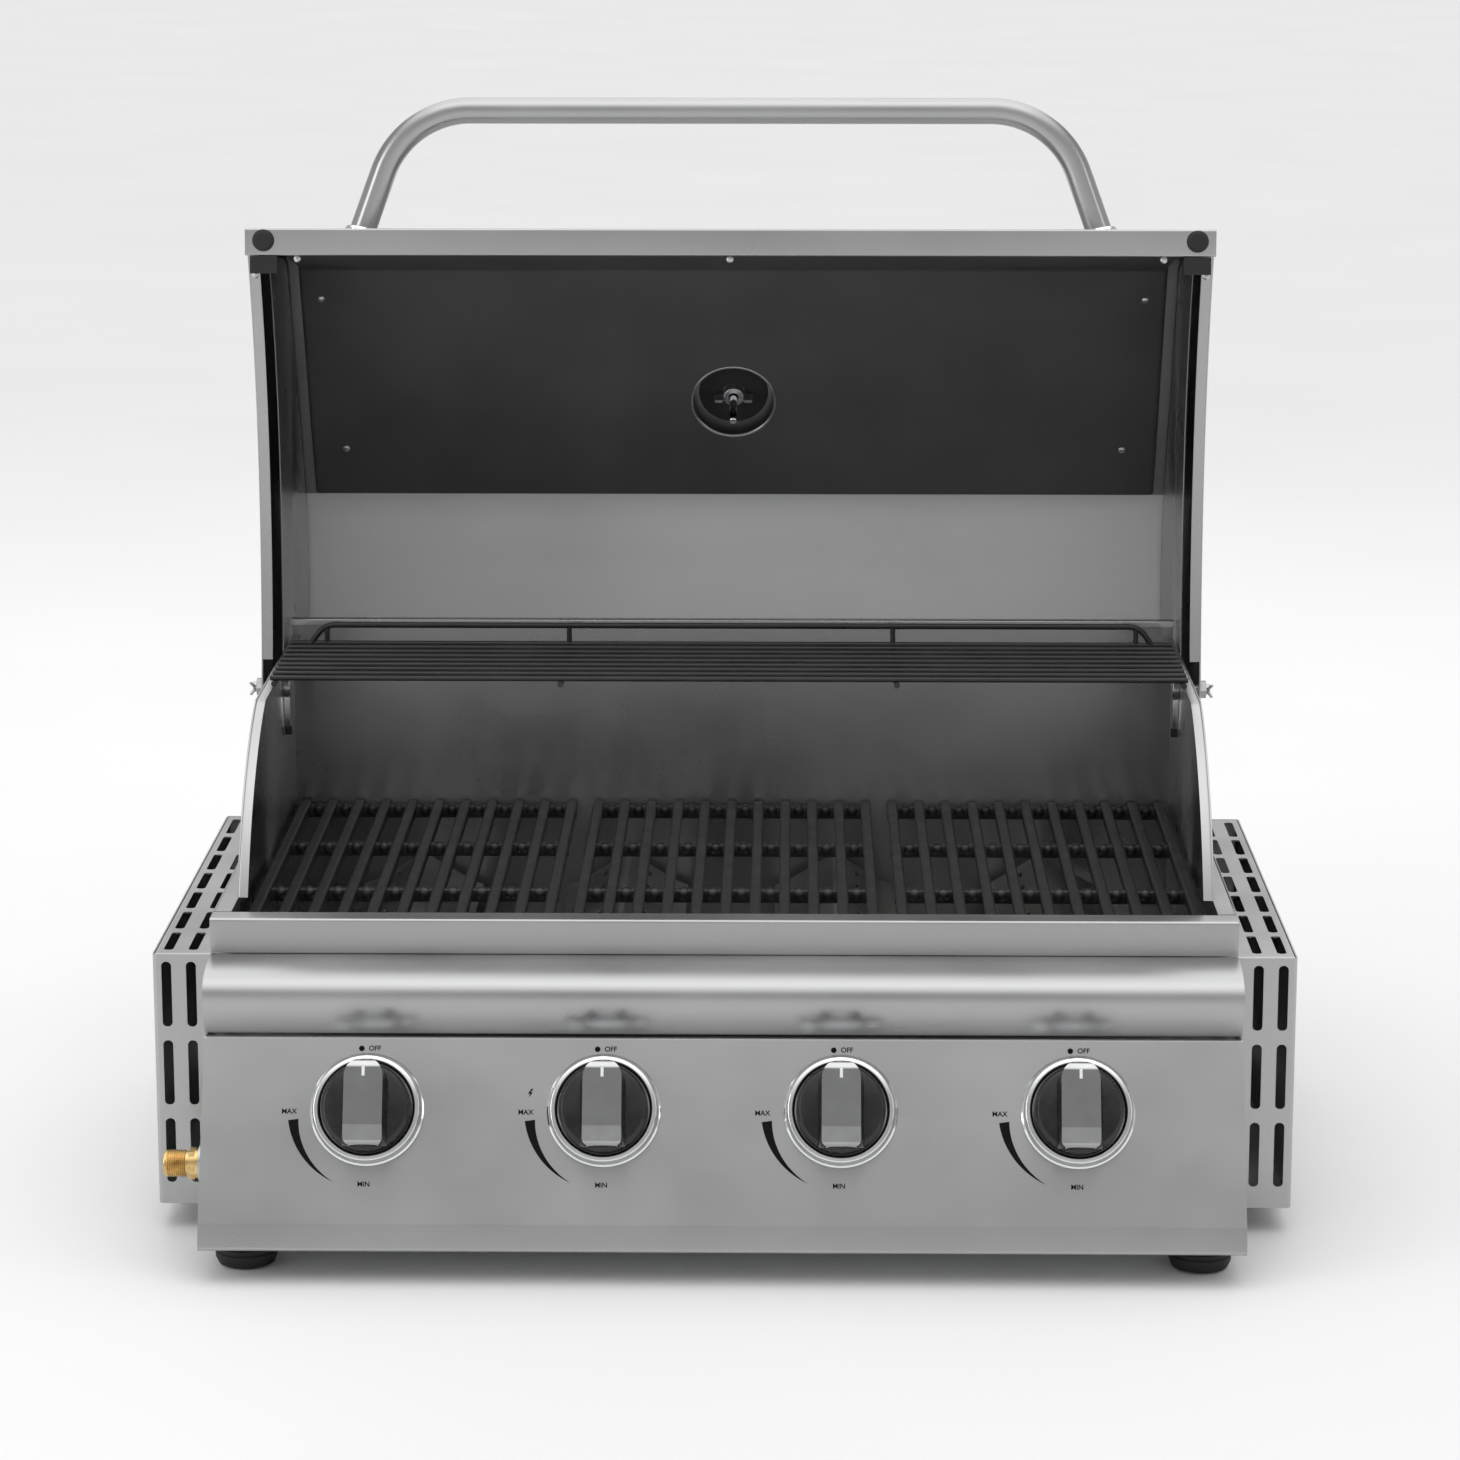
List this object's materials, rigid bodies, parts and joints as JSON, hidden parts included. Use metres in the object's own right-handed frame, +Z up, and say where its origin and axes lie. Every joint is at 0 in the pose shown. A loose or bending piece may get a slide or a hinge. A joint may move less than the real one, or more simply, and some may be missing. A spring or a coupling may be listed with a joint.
{
  "type": "gas barbecue grill",
  "caption": "Gas barbecue grill head in brushed steel with an open hinged hood, grates, warming rack, slotted side boxes, sloping control panel with push-and-turn knobs and rubber feet.",
  "frame": {"origin": "middle of the base of the whole grill with its hood open, on the surface that it stands on", "axes": "+X to the right seen from the front, -Y towards the cook, +Z up"},
  "size_m": [0.784, 0.6708, 0.7558],
  "materials": {
    "brushed_steel": "brushed stainless sheet with soft reflections",
    "chrome": "bright plated",
    "knob_black": "black moulded disc",
    "brass": "machined",
    "burner_steel": "thin stainless sheet",
    "zinc_steel": "zinc plated",
    "black_enamel": "satin black enamel",
    "black_rubber": "matt moulded rubber",
    "dark_liner": "dark satin inner sheet"
  },
  "bodies": {
    "root": {"front_rim": "brushed_steel", "shoulder_panel": "brushed_steel", "control_panel": "brushed_steel", "gas_inlet": "brass", "gas_manifold": "zinc_steel", "bezel_1": "chrome", "bezel_2": "chrome", "bezel_3": "chrome", "bezel_4": "chrome", "valve_body_1": "brass", "valve_body_2": "brass", "valve_body_3": "brass", "valve_body_4": "brass", "burner_1": "burner_steel", "burner_2": "burner_steel", "burner_3": "burner_steel", "burner_4": "burner_steel", "flame_tamer_1": "burner_steel", "flame_tamer_2": "burner_steel", "flame_tamer_3": "burner_steel", "flame_tamer_4": "burner_steel", "firebox_right_side": "brushed_steel", "firebox_left_side": "brushed_steel", "firebox_back": "brushed_steel", "burner_tray": "brushed_steel", "base_pan": "brushed_steel", "grate_left": "black_enamel", "grate_middle": "black_enamel", "grate_right": "black_enamel", "warming_rack": "black_enamel", "vent_box_left": "brushed_steel", "vent_box_right": "brushed_steel", "foot_front_left": "black_rubber", "foot_front_right": "black_rubber", "foot_rear_left": "black_rubber", "foot_rear_right": "black_rubber", "pivot_bolt_left": "zinc_steel", "pivot_bolt_right": "zinc_steel"},
    "hood": {"hood_skin": "brushed_steel", "hood_cap_left": "brushed_steel", "hood_cap_right": "brushed_steel", "hood_inner_wall_left": "brushed_steel", "hood_inner_wall_right": "brushed_steel", "hood_liner": "dark_liner", "hood_handle": "brushed_steel", "handle_collar_left": "chrome", "handle_collar_right": "chrome", "thermometer": "chrome", "thermometer_nut": "zinc_steel", "lip_bumper_left": "black_rubber", "lip_bumper_right": "black_rubber"},
    "drip_tray": {"drip_tray": "zinc_steel"},
    "valve_plug_1": {"valve_plug_1": "brass"},
    "valve_plug_2": {"valve_plug_2": "brass"},
    "valve_plug_3": {"valve_plug_3": "brass"},
    "valve_plug_4": {"valve_plug_4": "brass"},
    "knob_1": {"knob_1": "knob_black"},
    "knob_2": {"knob_2": "knob_black"},
    "knob_3": {"knob_3": "knob_black"},
    "knob_4": {"knob_4": "knob_black"}
  },
  "joints": [
    {"name": "hood_hinge", "type": "hinge", "parent": "root", "child": "hood", "pos_m": [0, 0.11659, 0.314], "axis": [1, 0, 0], "range_deg": [0, 95.8]},
    {"name": "drip_tray_slide", "type": "slide", "parent": "root", "child": "drip_tray", "axis": [0, 1, 0], "range_m": [0, 0.36]},
    {"name": "knob_1_turn", "type": "hinge", "parent": "root", "child": "valve_plug_1", "pos_m": [-0.2385, -0.29618, 0.11057], "axis": [0, -0.8972, 0.4415], "range_deg": [0, 180]},
    {"name": "knob_2_turn", "type": "hinge", "parent": "root", "child": "valve_plug_2", "pos_m": [-0.0795, -0.29618, 0.11057], "axis": [0, -0.8972, 0.4415], "range_deg": [0, 180]},
    {"name": "knob_3_turn", "type": "hinge", "parent": "root", "child": "valve_plug_3", "pos_m": [0.0795, -0.29618, 0.11057], "axis": [0, -0.8972, 0.4415], "range_deg": [0, 180]},
    {"name": "knob_4_turn", "type": "hinge", "parent": "root", "child": "valve_plug_4", "pos_m": [0.2385, -0.29618, 0.11057], "axis": [0, -0.8972, 0.4415], "range_deg": [0, 180]},
    {"name": "knob_1_push", "type": "slide", "parent": "valve_plug_1", "child": "knob_1", "axis": [0, 0.8972, -0.4415], "range_m": [0, 0.004], "stiffness_N_per_m": 1000, "springref_m": -0.006},
    {"name": "knob_2_push", "type": "slide", "parent": "valve_plug_2", "child": "knob_2", "axis": [0, 0.8972, -0.4415], "range_m": [0, 0.004], "stiffness_N_per_m": 1000, "springref_m": -0.006},
    {"name": "knob_3_push", "type": "slide", "parent": "valve_plug_3", "child": "knob_3", "axis": [0, 0.8972, -0.4415], "range_m": [0, 0.004], "stiffness_N_per_m": 1000, "springref_m": -0.006},
    {"name": "knob_4_push", "type": "slide", "parent": "valve_plug_4", "child": "knob_4", "axis": [0, 0.8972, -0.4415], "range_m": [0, 0.004], "stiffness_N_per_m": 1000, "springref_m": -0.006}
  ]
}
